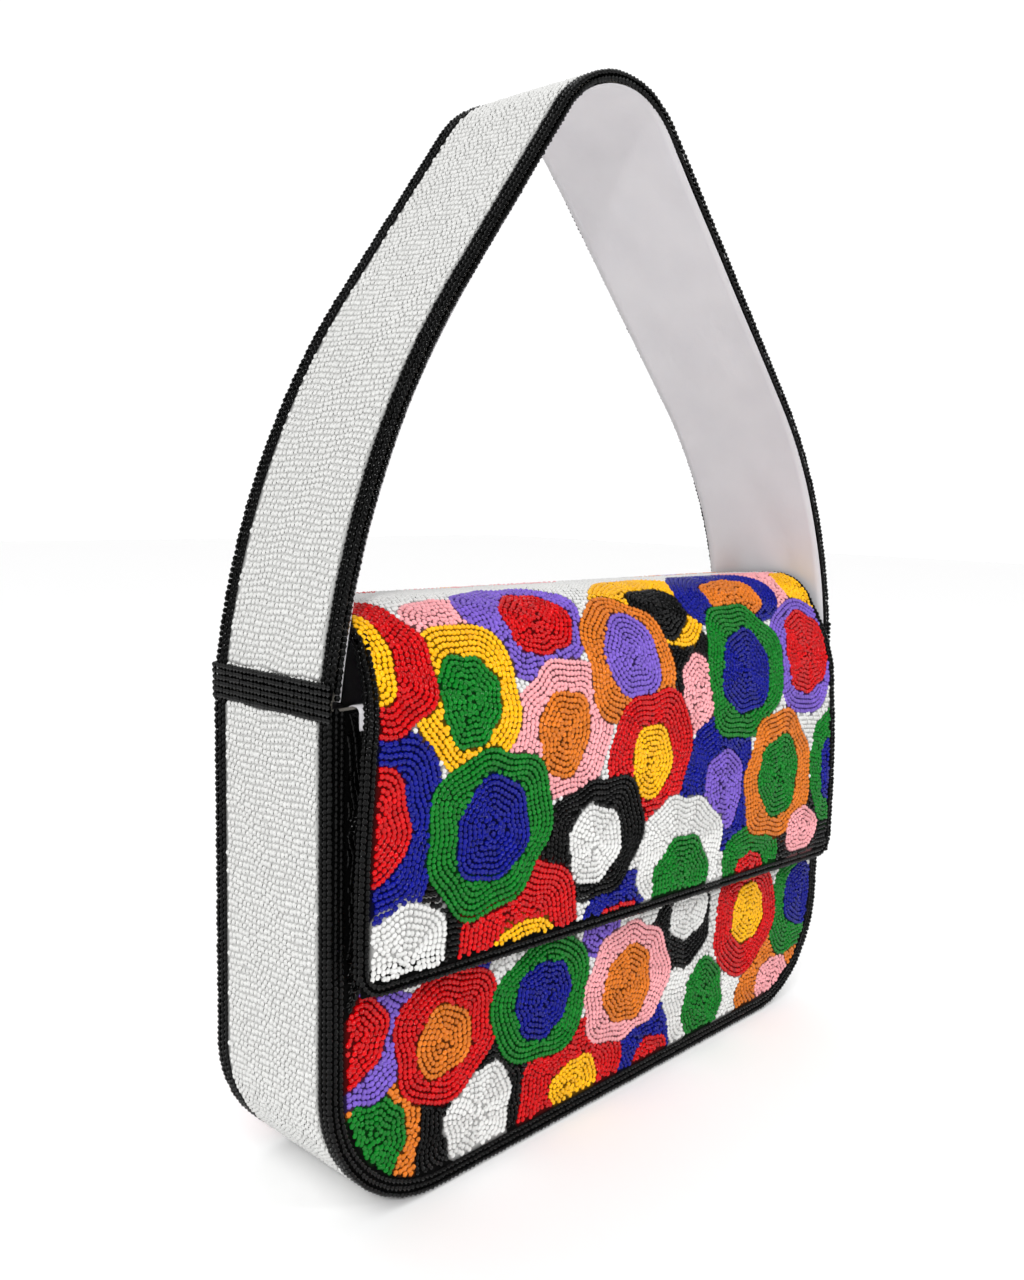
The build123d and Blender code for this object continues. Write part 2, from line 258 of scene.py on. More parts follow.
frontFlowers = [
    ("blue", -71, 62, 6, 7, None, 0, 0, 0, 0),
    ("white", -63, 59, 7, 9, None, 0, 0, 0, 0),
    ("violet", -16, 61, 10, 8, None, 0, 0, 0, 0),
    ("tan", -105, 27, 24, 24, "green", -114, 24, 12, 14),
    ("black", -73, 18, 24, 24, "white", -72, 17, 14, 16),
    ("white", -37, 31, 6, 6, None, 0, 0, 0, 0),
    ("blue", 13, 11, 20, 15, "red", 15, 6, 10, 8),
    ("tan", 95, 15, 26, 18, "pink", 97, 11, 12, 10),
    ("white", 47, 24, 26, 22, "green", 47, 18, 13, 16),
    ("black", 31, 50, 19, 15, "white", 35, 55, 12, 9),
    ("green", 110, 40, 18, 21, "blue", 116, 44, 12, 14),
    ("red", 74, 43, 22, 22, "yellow", 76, 45, 11, 12),
    ("violet", -119, 54, 22, 17, "red", -122, 57, 13, 13),
    ("red", -29, 14, 26, 20, "yellow", -27, 11, 12, 9),
    ("red", -86, 48, 21, 21, "tan", -87, 46, 11, 11),
    ("green", -44, 46, 23, 21, "blue", -44, 46, 13, 13),
    ("pink", 0, 39, 24, 21, "tan", 0, 38, 13, 14),
    ("black", -134, 116, 24, 52, None, 0, 0, 0, 0),
    ("black", 134, 116, 24, 52, None, 0, 0, 0, 0),
]
pairs = ["red yellow", "green blue", "pink tan", "blue red", "yellow green", "white green", "violet red",
         "black white", "tan violet", "blue violet", "red tan", "tan green", "black pink", "pink yellow"]


def scattered(lowest, highest, first):
    # More flowers of the same kind, in staggered rows, where the cloth goes on out of sight
    rows = []
    for j, y in enumerate(np.arange(lowest, highest, 39.0)):
        for i in range(-3, 4):
            ring, eye = pairs[(5 * j + 3 * i + first) % len(pairs)].split()
            dx, dy, dw, dh = dice.uniform(-4, 4, 4)
            x = i * 43 + (j % 2) * 21 + dx
            rows.append((ring, x, y + dy, 24 + dw, 22 + dh, eye, x + dw / 2, y + dy + dh / 2, 13 + dx / 3,
                         13 + dy / 3))
    return rows


clothFlowers = flowers(scattered(238, 410, 2) + flapFlowers)
panelFlowers = flowers(scattered(88, 170, 9) + frontFlowers)


def blobRadius(b, angle):
    squareness = 2.2
    reach = (np.abs(np.cos(angle) / b["w"]) ** squareness + np.abs(np.sin(angle) / b["h"]) ** squareness)
    lobes = 1 + 0.04 * np.cos(b["petals"] * angle + b["turns"][0]) + 0.045 * np.cos(3 * angle + b["turns"][1])
    return reach ** (-1 / squareness) * lobes


def inside(b, u, v, grow=0.0):
    du, dv = u - b["x"], v - b["y"]
    return np.hypot(du, dv) < blobRadius(b, np.arctan2(dv, du)) + grow


def rowsIn(b):
    # Threads of beads that follow a blob's outline, from its edge to its middle
    u, v, a = [], [], []
    angle = np.linspace(0, 2 * np.pi, 241)
    radius = blobRadius(b, angle)
    for k in range(int(radius.max() / beads["rows"]) + 1):
        r = radius - (k + 0.5) * beads["rows"]
        r = np.maximum(r, 0)
        x, y = b["x"] + r * np.cos(angle), b["y"] + r * np.sin(angle)
        steps = np.concatenate([[0], np.cumsum(np.hypot(np.diff(x), np.diff(y)))])
        count = int(steps[-1] / beads["pitch"])
        if count < 1:
            continue
        s = (np.arange(count) + dice.random()) * steps[-1] / count
        px, py = np.interp(s, steps, x), np.interp(s, steps, y)
        qx, qy = np.interp(s + 0.3, steps, x), np.interp(s + 0.3, steps, y)
        ok = np.hypot(px - b["x"], py - b["y"]) > 0.3
        u.append(px[ok])
        v.append(py[ok])
        a.append(np.arctan2(qy - py, qx - px)[ok])
    return np.concatenate(u), np.concatenate(v), np.concatenate(a)


def groundRows(uRange, vRange, wave):
    # Slightly wavy threads across the cloth
    u, v = [], []
    for j, y in enumerate(np.arange(vRange[0], vRange[1], beads["rows"])):
        x = np.arange(uRange[0], uRange[1], beads["pitch"]) + (j % 2) * beads["pitch"] / 2
        u.append(x)
        v.append(y + wave * np.sin(x / 17 + y / 40) + 0.5 * wave * np.sin(x / 7.3 + y / 9))
    return np.concatenate(u), np.concatenate(v)


def colourAt(u, v, flowerList, ground):
    found = ground(u, v)
    for ring, eye in flowerList:
        hit = inside(ring, u, v)
        found[hit] = ring["colour"]
        if eye:
            found[hit & inside(eye, u, v)] = eye["colour"]
    return found


def thinned(u, v, closest):
    # Keeps the first of any two beads that would share a place
    taken, kept = {}, []
    cell = closest
    for i, (x, y) in enumerate(zip(u.tolist(), v.tolist())):
        cx, cy = int(x // cell), int(y // cell)
        clear = True
        for gx in (cx - 1, cx, cx + 1):
            for gy in (cy - 1, cy, cy + 1):
                for ox, oy in taken.get((gx, gy), ()):
                    if (ox - x) ** 2 + (oy - y) ** 2 < closest * closest:
                        clear = False
        if clear:
            taken.setdefault((cx, cy), []).append((x, y))
            kept.append(i)
    return np.array(kept, int)


def beadPattern(flowerList, ground, within, uRange, vRange):
    # Every bead of a cloth: place, thread direction and colour
    us, vs, turns, shades = [], [], [], []
    above = []
    for ring, eye in reversed(flowerList):
        for b, hole in ((eye, None), (ring, eye)):
            if b is None:
                continue
            u, v, a = rowsIn(b)
            ok = within(u, v)
            if hole:
                ok &= ~inside(hole, u, v, 0.45 * beads["rows"])
            else:
                ok &= inside(ring, u, v, -0.3 * beads["rows"])
            for other in above:
                if abs(other["x"] - b["x"]) < 60 and abs(other["y"] - b["y"]) < 60:
                    ok &= ~inside(other, u, v, 0.4 * beads["rows"])
            us.append(u[ok])
            vs.append(v[ok])
            turns.append(a[ok])
            shades.append(np.full(ok.sum(), b["colour"]))
        above.append(ring)
    u, v = groundRows(uRange, vRange, 1.2)
    fineU, fineV = np.meshgrid(np.arange(uRange[0], uRange[1], 0.8), np.arange(vRange[0], vRange[1], 0.8))
    for gu, gv, grow in ((u, v, 0.4 * beads["rows"]), (fineU.ravel(), fineV.ravel(), -9)):
        ok = within(gu, gv)
        for other in above:
            ok &= ~inside(other, gu, gv, grow)
        us.append(gu[ok])
        vs.append(gv[ok])
        turns.append(np.zeros(ok.sum()))
        shades.append(ground(gu[ok], gv[ok]))
    lastTight = sum(len(x) for x in us[:-1])
    u, v = np.concatenate(us), np.concatenate(vs)
    turn = np.concatenate(turns)
    kept = thinned(u, v, beads["closest"])
    kept = kept[kept < lastTight]
    fu, fv = fineU.ravel(), fineV.ravel()
    ok = within(fu, fv)
    fu, fv = fu[ok], fv[ok]
    allU, allV = np.concatenate([u[kept], fu]), np.concatenate([v[kept], fv])
    second = thinned(allU, allV, beads["gap"] * 0.86)
    fill = second[second >= len(kept)]
    allTurn = np.concatenate([turn[kept], np.zeros(len(fu))])
    u, v = np.concatenate([u[kept], allU[fill]]), np.concatenate([v[kept], allV[fill]])
    turn = np.concatenate([turn[kept], allTurn[fill]])
    shade = np.concatenate([np.concatenate(shades)[kept],
                            colourAt(allU[fill], allV[fill], flowerList, ground)])
    return u, v, turn, shade


def clothHalf(v):
    # Half the width of the beaded field at distance v up the cloth
    neck = flap["crownHalf"] - 0.6
    wide = flap["half"] - flap["edge"]
    back = bag["half"] - bag["edgeRows"]
    return np.interp(v, [flap["flare"], 165, 246.5, 247], [wide, neck, neck, back])


def lowerEdge(u):
    return flap["bottom"] - flap["skew"] * u


def clothWithin(u, v):
    top = clothStart + clothLine["total"] - bag["edgeRows"]
    ok = (np.abs(u) < clothHalf(v) - 0.9) & (v > lowerEdge(u) + flap["edge"] + 0.8) & (v < top - 0.9)
    corner = bag["corner"] - bag["edgeRows"]
    du = np.abs(u) - (bag["half"] - bag["corner"])
    dv = v - (top - corner)
    return ok & ~((du > 0) & (dv > 0) & (np.hypot(du, dv) > corner - 0.9))


def clothGround(u, v):
    dark = ((u < -40) & (v < 108)) | ((u > 80) & (v < 94)) | ((v > 320) & (u > 20))
    return np.where(dark, colours.index("black"), colours.index("white"))


def panelWithin(u, v):
    inset, corner = bag["edgeRows"], bag["corner"] - bag["edgeRows"]
    ok = (np.abs(u) < bag["half"] - inset - 0.9) & (v > inset + 0.9) & (v < bag["frontTop"] - 1.2)
    du, dv = np.abs(u) - (bag["half"] - bag["corner"]), bag["corner"] - v
    return ok & ~((du > 0) & (dv > 0) & (np.hypot(du, dv) > corner - 0.9))


def panelGround(u, v):
    dark = (u < -48) & (v < 44)
    return np.where(dark, colours.index("black"), colours.index("white"))


# Materials

def linear(hexText):
    parts = [int(hexText[i:i + 2], 16) / 255 for i in (0, 2, 4)]
    return tuple(c / 12.92 if c <= 0.04045 else ((c + 0.055) / 1.055) ** 2.4 for c in parts) + (1.0,)


def addNode(tree, kind, settings=None, values=None, links=None):
    node = tree.nodes.new(kind)
    for key, value in (settings or {}).items():
        setattr(node, key, value)
    for key, value in (values or {}).items():
        node.inputs[key].default_value = value
    for key, source in (links or {}).items():
        tree.links.new(source, node.inputs[key])
    return node


def newMaterial(name, hexText, roughness, ior, metallic=0.0, extra=None):
    material = bpy.data.materials.new(name)
    material.use_nodes = True
    material.diffuse_color = linear(hexText)
    shader = material.node_tree.nodes["Principled BSDF"]
    settings = {"Base Color": linear(hexText), "Roughness": roughness, "IOR": ior, "Metallic": metallic}
    for key, value in {**settings, **(extra or {})}.items():
        shader.inputs[key].default_value = value
    return material, material.node_tree, shader


def glassBeads(name, hexText, spread, roughness=0.16, specular=0.5):
    # Opaque pressed glass, fire polished: a hard bright highlight, and no two beads quite the same shade
    material, tree, shader = newMaterial(name, hexText, roughness, 1.5,
                                         extra={"Specular IOR Level": specular})
    tone = addNode(tree, "ShaderNodeAttribute", {"attribute_name": "tone"})
    r, g, b, _ = linear(hexText)
    dark = (r * (1 - spread), g * (1 - spread), b * (1 - spread), 1)
    pale = tuple(min(1, c * (1 + 0.55 * spread) + 0.003 * spread) for c in (r, g, b)) + (1,)
    ramp = addNode(tree, "ShaderNodeValToRGB", links={"Fac": tone.outputs["Fac"]})
    ramp.color_ramp.elements[0].color = dark
    ramp.color_ramp.elements[1].color = pale
    tree.links.new(ramp.outputs["Color"], shader.inputs["Base Color"])
    return material


beadFinish = {
    "red": (0.30, 0.15, 0.22), "yellow": (0.16, 0.18, 0.2), "green": (0.30, 0.15, 0.2), "blue": (0.35, 0.14,
                                                                                                 0.2),
    "pink": (0.10, 0.2, 0.25), "violet": (0.20, 0.17, 0.22), "tan": (0.22, 0.17, 0.22),
    "white": (0.05, 0.22, 0.3), "black": (0.4, 0.12, 0.14),
}
beadMaterials = {}
for colour, (spread, roughness, specular) in beadFinish.items():
    beadMaterials[colour] = glassBeads(colour + "GlassBeads", palette[colour], spread, roughness, specular)
print("materials made")


# Beads: one low mesh, placed on points by Geometry Nodes

def meshObject(name, verts, faces, smooth=True):
    mesh = bpy.data.meshes.new(name)
    mesh.from_pydata([tuple(v) for v in verts], [], [tuple(f) for f in faces])
    if smooth:
        mesh.shade_smooth()
    mesh.update()
    made = bpy.data.objects.new(name, mesh)
    bpy.context.scene.collection.objects.link(made)
    return made


def seedBead():
    # A barrel cut flat on the side that lies on the cloth, closed all round: a thread runs through it along X
    sides, rings = 4, ((-0.5, 0.29), (0.0, 0.5), (0.5, 0.29))
    sweep = math.radians(208)
    verts, faces = [], []
    for x, r in rings:
        for k in range(sides + 1):
            a = -sweep / 2 + sweep * k / sides
            verts.append((x * beads["along"] * mm, math.sin(a) * r * beads["across"] * mm,
                          math.cos(a) * r * beads["across"] * mm))
    row = sides + 1
    for i in range(len(rings) - 1):
        for k in range(sides):
            faces.append((i * row + k, i * row + k + 1, (i + 1) * row + k + 1, (i + 1) * row + k))
        faces.append((i * row + sides, i * row, (i + 1) * row, (i + 1) * row + sides))
    faces.append(tuple(range(row)))
    faces.append(tuple(range(3 * row - 1, 2 * row - 1, -1)))
    made = meshObject("seedBead", verts, faces)
    made.data.flip_normals()
    return made


beadMesh = seedBead()


def beadTree():
    tree = bpy.data.node_groups.new("beadsOnThreads", "GeometryNodeTree")
    sockets = {}
    for name, kind in (("Geometry", "NodeSocketGeometry"), ("Bead", "NodeSocketObject"),
                       ("Size variation", "NodeSocketFloat"), ("Seed", "NodeSocketInt"),
                       ("Glass", "NodeSocketMaterial")):
        sockets[name] = tree.interface.new_socket(name, in_out="INPUT", socket_type=kind).identifier
    tree.interface.new_socket("Geometry", in_out="OUTPUT", socket_type="NodeSocketGeometry")
    given = addNode(tree, "NodeGroupInput").outputs
    bead = addNode(tree, "GeometryNodeObjectInfo", links={"Object": given["Bead"]})
    outward = addNode(tree, "GeometryNodeInputNamedAttribute", {"data_type": "FLOAT_VECTOR"},
                      {"Name": "outward"})
    thread = addNode(tree, "GeometryNodeInputNamedAttribute", {"data_type": "FLOAT_VECTOR"},
                     {"Name": "thread"})
    turned = addNode(tree, "FunctionNodeAxesToRotation", {"primary_axis": "Z", "secondary_axis": "X"},
                     links={"Primary Axis": outward.outputs["Attribute"],
                            "Secondary Axis": thread.outputs["Attribute"]})
    smallest = addNode(tree, "ShaderNodeMath", {"operation": "SUBTRACT"}, {0: 1.0},
                       {1: given["Size variation"]})
    largest = addNode(tree, "ShaderNodeMath", {"operation": "ADD"}, {0: 1.0}, {1: given["Size variation"]})
    size = addNode(tree, "FunctionNodeRandomValue", {"data_type": "FLOAT"},
                   links={2: smallest.outputs[0], 3: largest.outputs[0], "Seed": given["Seed"]})
    placed = addNode(tree, "GeometryNodeInstanceOnPoints", links={
        "Points": given["Geometry"], "Instance": bead.outputs["Geometry"],
        "Rotation": turned.outputs["Rotation"], "Scale": size.outputs[1]})
    real = addNode(tree, "GeometryNodeRealizeInstances", links={"Geometry": placed.outputs["Instances"]})
    worn = addNode(tree, "GeometryNodeSetMaterial", links={"Geometry": real.outputs["Geometry"],
                                                           "Material": given["Glass"]})
    addNode(tree, "NodeGroupOutput", links={"Geometry": worn.outputs["Geometry"]})
    return tree, sockets


threading, threadingInputs = beadTree()
beadTotal = 0


def threadBeads(name, places, outward, thread, colour, seed):
    # Turns points into real beads: a plain mesh that wears the colour's glass
    global beadTotal
    beadTotal += len(places)
    points = bpy.data.meshes.new(name + "Points")
    points.from_pydata([tuple(p) for p in places * mm], [], [])
    for label, data in (("outward", outward), ("thread", thread)):
        layer = points.attributes.new(label, "FLOAT_VECTOR", "POINT")
        layer.data.foreach_set("vector", np.asarray(data, np.float32).ravel())
    tone = points.attributes.new("tone", "FLOAT", "POINT")
    tone.data.foreach_set("value", np.clip(dice.normal(0.5, 0.22, len(places)), 0, 1).astype(np.float32))
    source = bpy.data.objects.new(name + "Points", points)
    bpy.context.scene.collection.objects.link(source)
    modifier = source.modifiers.new("beadsOnThreads", "NODES")
    modifier.node_group = threading
    values = {"Bead": beadMesh, "Size variation": 0.07, "Seed": seed, "Glass": beadMaterials[colour]}
    for label, value in values.items():
        modifier[threadingInputs[label]] = value
    graph = bpy.context.evaluated_depsgraph_get()
    mesh = bpy.data.meshes.new_from_object(source.evaluated_get(graph), depsgraph=graph)
    made = bpy.data.objects.new(name, mesh)
    bpy.context.scene.collection.objects.link(made)
    bpy.data.objects.remove(source)
    return made


def tilted(uDir, vDir, turn):
    # Thread direction from an angle on the surface, with a little unevenness
    turn = turn + dice.normal(0, 0.07, len(turn))
    return uDir * np.cos(turn)[:, None] + vDir * np.sin(turn)[:, None]


def beadCloth(zone, place, u, v, turn, shade, seed):
    # One piece of beads for each colour
    made = []
    u = u + dice.normal(0, 0.06, len(u))
    v = v + dice.normal(0, 0.06, len(v))
    places, normals, uDir, vDir = place(u, v, beads["across"] / 2 + dice.normal(0, 0.05, len(u)))
    threads = tilted(uDir, vDir, turn)
    for i, colour in enumerate(colours):
        pick = shade == i
        if pick.any():
            name = zone + colour.capitalize() + "Beads"
            made.append(threadBeads(name, places[pick], normals[pick], threads[pick], colour, seed + i))
    return made


# Cut the cloth into a hanging part, a top part and the back panel, where it bends

def lengthAt(y, z):
    return clothStart + clothLine["at"][np.argmin(np.hypot(clothLine["points"][:, 0] - y,
                                                           clothLine["points"][:, 1] - z))]


topCut = lengthAt(-4.0, 177.5)
backCut = lengthAt(bag["back"], 160.0)


def bendFront(piece):
    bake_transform(piece)


def bendBack(piece):
    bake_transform(piece)


def bendStrap(piece):
    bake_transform(piece)


u, v, turn, shade = beadPattern(clothFlowers, clothGround, clothWithin, (-127, 127),
                                (60, clothStart + clothLine["total"]))
stretches = {"flap": (v < topCut), "crown": (v >= topCut) & (v < backCut), "backPanel": v >= backCut}
replaced = {"flap": "flap_bead_cloth", "crown": "crown_bead_cloth", "backPanel": "back_bead_cloth"}
for seed, (zone, pick) in enumerate(stretches.items()):
    for piece in beadCloth(zone, clothPlace, u[pick], v[pick], turn[pick], shade[pick], 10 * seed):
        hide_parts(replaced[zone])
        if zone == "flap":
            bendFront(piece)
        elif zone == "crown":
            bendBack(piece)
        else:
            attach(piece, "body")
print("flap, top and back beaded:", len(u))

u, v, turn, shade = beadPattern(panelFlowers, panelGround, panelWithin, (-125, 125), (5, 150))
for piece in beadCloth("frontPanel", frontPlace, u, v, turn, shade, 60):
    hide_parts("front_bead_cloth")
    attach(piece, "body")
print("front panel beaded:", len(u))


# White gusset and strap, in cross rows

def crossRows(length, reach, wave):
    v, u = [], []
    for s in np.arange(beads["rows"] / 2, length, beads["rows"]):
        x = np.arange(-reach, reach, 1.08 * beads["pitch"]) + dice.uniform(0, 1.8)
        x = x + dice.normal(0, 0.12, len(x))
        x = x[np.abs(x) < reach - 0.3]
        sway = np.sin(x / 6.1 + s / 23), np.sin(x / 2.9 + s / 5.7)
        v.append(s + wave * sway[0] + wave * sway[1] + dice.normal(0, 0.1, len(x)))
        u.append(x)
    return np.concatenate(u), np.concatenate(v)


whiteShade = colours.index("white")
gussetFace = bandLine(beads["across"] / 2, bag["seam"] - 5)
reach = bag["back"] - bag["edgeRows"] - 0.3
u, v = crossRows(gussetFace["total"], reach, 0.35)
places, normals, uDir, vDir = swept(gussetFace, u, v, -1)
piece = threadBeads("gussetWhiteBeads", places, normals, tilted(uDir, vDir, np.zeros(len(u))), "white", 80)
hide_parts("gusset_bead_cloth")
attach(piece, "body")

strapFace = strapLine(beads["across"] / 2)
strapFoot = 3.9   # clear of the seam band
u, v = crossRows(strapFace["total"] - 2 * strapFoot, reach, 0.35)
v = v + strapFoot
places, normals, uDir, vDir = swept(strapFace, u, v, 1)
piece = threadBeads("strapWhiteBeads", places, normals, tilted(uDir, vDir, np.zeros(len(u))), "white", 81)
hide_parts("strap_bead_cloth")
bendStrap(piece)
print("gusset and strap beaded")


# Black rows along every edge

def rowAlong(line, y, lean, side, first=0.0, last=None):
    # One thread of beads along a band's line. lean turns it from facing out to facing front or back.
    last = line["total"] if last is None else last
    count = int((last - first) / beads["pitch"])
    v = first + (np.arange(count) + dice.random()) * (last - first) / count
    places, normals, uDir, vDir = swept(line, np.full(count, y), v, side)
    facing = normals * math.cos(lean) + uDir * math.sin(lean)
    return places, facing, vDir


def blackRows(name, rows, seed):
    places, facing, way = (np.concatenate(x) for x in zip(*rows))
    places = places + dice.normal(0, 0.05, places.shape)
    way = way + dice.normal(0, 0.05, way.shape)
    piece = threadBeads(name, places, facing, way, "black", seed)
    return piece


half = beads["across"] / 2
quarter = math.pi / 4
for name, face, toward, top, node in (("frontEdge", bag["front"], -1, bag["frontTop"], "front_edge_beads"),
                                      ("backEdge", bag["back"], 1, bag["seam"], "back_edge_beads")):
    inward = -toward
    rows = [rowAlong(bandLine(half, top), face + inward * half, toward * quarter, -1)]
    for step in (1, 2):
        rows.append(rowAlong(bandLine(half + step * beads["rows"], top), face + inward * half,
                             toward * 2 * quarter, -1))
        rows.append(rowAlong(bandLine(half, bag["seam"] - 5), face + inward * (half + step * beads["rows"]),
                             0, -1))
    piece = blackRows(name + "BlackBeads", rows, 90)
    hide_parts(node)
    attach(piece, "body")

# Threads of a seam band, their spacing, and how far the lowest lies below the seam
seamRows, seamPitch, seamDrop = 6, 1.76, 4.4
bandRows = {"left": [], "right": []}
for step in range(seamRows):
    z = bag["seam"] - seamDrop + step * seamPitch
    count = int((bag["back"] - bag["front"]) / beads["pitch"])
    y = np.linspace(bag["front"] + 0.9, bag["back"] - 0.9, count)
    for name, side in (("left", -1), ("right", 1)):
        zero = np.zeros(count)
        lift = bag["half"] - half + 0.5
        bandRows[name].append((np.stack([zero + side * lift, y, zero + z], -1),
                               np.stack([zero + side, zero, zero], -1),
                               np.stack([zero, zero + 1, zero], -1)))
for name, rows in bandRows.items():
    piece = blackRows(name + "SeamBlackBeads", rows, 91)
    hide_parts("seam_bead_band_" + name)
    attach(piece, "body")

for name, face, toward in (("front", bag["front"], -1), ("back", bag["back"], 1)):
    inward = -toward
    low, high = 3.8, strapLine(0)["total"] - 3.8
    rows = [rowAlong(strapLine(half), face + inward * half, toward * quarter, 1, low, high)]
    for step in (1, 2):
        rows.append(rowAlong(strapLine(half), face + inward * (half + step * beads["rows"]), 0, 1, low, high))
    rows.append(rowAlong(strapLine(half + beads["rows"]), face + inward * half, toward * 2 * quarter, 1,
                         low - 3, high - 6))
    piece = blackRows(name + "StrapEdgeBlackBeads", rows, 92)
    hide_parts("strap_edge_beads_" + name)
    bendStrap(piece)


def flapBorder(inset):
    # The hanging part's outline, from its upper left, round the lower edge, to its upper right
    side, neck = flap["half"] - inset, flap["crownHalf"] - inset
    lowLeft, lowRight = lowerEdge(-side) + inset, lowerEdge(side) + inset
    corners = [(-neck, 172.0), (-side, flap["flare"]), (-side, lowLeft), (side, lowRight),
               (side, flap["flare"]), (neck, 172.0)]
    corner = flap["corner"] - inset
    return roundedLine(corners, [30.0, corner, corner, 30.0])


def borderRow(inset, depth, lean):
    line = flapBorder(inset)
    count = int(line["total"] / beads["pitch"])
    s = (np.arange(count) + dice.random()) * line["total"] / count
    at, way = onLine(line, s)
    places, normals, uDir, vDir = clothPlace(at[:, 0], at[:, 1], depth)
    along = uDir * way[:, :1] + vDir * way[:, 1:]
    outside = uDir * way[:, 1:] - vDir * way[:, :1]
    return places, normals * math.cos(lean) + outside * math.sin(lean), along


rows = [borderRow(half, half, quarter), borderRow(half + beads["rows"], half, 0.0),
        borderRow(half, half + beads["rows"], 2 * quarter)]
piece = blackRows("flapEdgeBlackBeads", rows, 93)
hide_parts("flap_edge_beads")
bendFront(piece)


def sideRows(low, high):
    # The cloth's raw sides between the flap's border and the seam, covered by two threads a side
    rows = []
    for side in (-1, 1):
        for depth, lean, inset in ((half, quarter, half - 0.7),
                                   (half + beads["rows"], 2 * quarter, half - 0.7)):
            v = np.arange(low, high, beads["pitch"])
            across = np.full(len(v), side * (flap["crownHalf"] - inset))
            places, normals, uDir, vDir = clothPlace(across, v, depth)
            rows.append((places, normals * math.cos(lean) + side * uDir * math.sin(lean), vDir))
    return rows


for name, low, high, bend in (("flapSides", 172, topCut, bendFront),
                              ("crownSides", topCut, backCut, bendBack),
                              ("backSides", backCut, 246, None)):
    piece = blackRows(name + "BlackBeads", sideRows(low, high), 94)
    bend(piece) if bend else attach(piece, "body")
print("edges beaded, beads in all:", beadTotal)


# Cloth and board under the beads, and the satin inside. Each is a thin closed body on the same surfaces.

def thinSheet(name, place, half, vs, depth, thickness, step=3.0, swell=None, centre=0.0):
    # half is half the width at each v. swell moves the inner face and gives the cloth its creases.
    vs = np.asarray(vs, float)
    halves = np.array([half(x) if callable(half) else half for x in vs], float)
    columns = max(4, int(2 * halves.max() / step))
    ratio = np.linspace(-1, 1, columns + 1)
    uu = ratio[None, :] * halves[:, None] + centre
    vv = np.repeat(vs[:, None], columns + 1, 1)
    rows, cols = uu.shape
    flatU, flatV = uu.ravel(), vv.ravel()
    crease = swell(flatU, flatV) if swell else np.zeros(len(flatU))
    outer = place(flatU, flatV, depth + crease)[0]
    inner = place(flatU, flatV, depth + thickness + crease)[0]
    verts = np.concatenate([outer, inner]) * mm
    count = rows * cols
    faces = []
    for i in range(rows - 1):
        for j in range(cols - 1):
            a = i * cols + j
            quad = (a, a + 1, a + cols + 1, a + cols)
            faces.append(quad)
            faces.append(tuple(count + k for k in reversed(quad)))
    loop = [j for j in range(cols)] + [i * cols + cols - 1 for i in range(1, rows)] + \
        [(rows - 1) * cols + j for j in range(cols - 2, -1, -1)] + [i * cols for i in range(rows - 2, 0, -1)]
    for a, b in zip(loop, loop[1:] + loop[:1]):
        faces.append((b, a, count + a, count + b))
    made = meshObject(name, verts, faces)
    layer = made.data.uv_layers.new(name="UVMap")
    corner = np.array([l.vertex_index for l in made.data.loops]) % count
    layer.data.foreach_set("uv", (np.stack([flatU[corner], flatV[corner]],
                                           -1) * mm * 4).ravel().astype(np.float32))
    fixNormals(made)
    return made


def fixNormals(made):
    import bmesh
    work = bmesh.new()
    work.from_mesh(made.data)
    bmesh.ops.recalc_face_normals(work, faces=work.faces)
    if work.calc_volume(signed=True) < 0:
        bmesh.ops.reverse_faces(work, faces=work.faces)
    work.to_mesh(made.data)
    work.free()


def wear(made, material):
    made.data.materials.clear()
    made.data.materials.append(material)
    return made


def creases(size, amount, seed):
    # Soft creases: a few long waves with directions and phases from the seed
    pick = np.random.default_rng(seed)
    waves = [(pick.uniform(-1, 1), pick.uniform(0.3, 1) * size, pick.uniform(0, 6.28)) for _ in range(7)]

    def swell(u, v):
        total = np.zeros(len(u))
        for turn, pitch, phase in waves:
            total += np.sin((u * math.cos(turn) + v * math.sin(turn)) * 6.28 / pitch + phase)
        return amount * total / len(waves)
    return swell


def bumpOf(tree, height, strength, distance):
    return addNode(tree, "ShaderNodeBump", values={"Strength": strength, "Distance": distance},
                   links={"Height": height})


def satinCloth(name, hexText):
    # Polyester satin: a soft wide highlight, a fine weave of 0.45 mm and shallow creases with painted shade
    # in their hollows
    material, tree, shader = newMaterial(name, hexText, 0.42, 1.46,
                                         extra={"Sheen Weight": 0.35, "Sheen Roughness": 0.4})
    place = addNode(tree, "ShaderNodeTexCoord").outputs["Object"]
    weave = addNode(tree, "ShaderNodeTexWave", {"bands_direction": "DIAGONAL"},
                    {"Scale": 0.31 / 0.00045, "Distortion": 0.6}, {"Vector": place})
    folds = addNode(tree, "ShaderNodeTexNoise", values={"Scale": 55.0, "Detail": 3.0, "Roughness": 0.45},
                    links={"Vector": place})
    # The colour is darker where the fold noise is low: painted shade in the hollows of the creases
    shade = addNode(tree, "ShaderNodeValToRGB", links={"Fac": folds.outputs["Fac"]})
    r, g, b, _ = linear(hexText)
    shade.color_ramp.elements[0].color = (r * 0.86, g * 0.86, b * 0.88, 1)
    shade.color_ramp.elements[1].color = (r, g, b, 1)
    tree.links.new(shade.outputs["Color"], shader.inputs["Base Color"])
    coarse = bumpOf(tree, folds.outputs["Fac"], 0.5, 0.0016)
    fine = bumpOf(tree, weave.outputs["Fac"], 0.25, 0.00008)
    tree.links.new(coarse.outputs["Normal"], fine.inputs["Normal"])
    tree.links.new(fine.outputs["Normal"], shader.inputs["Normal"])
    return material


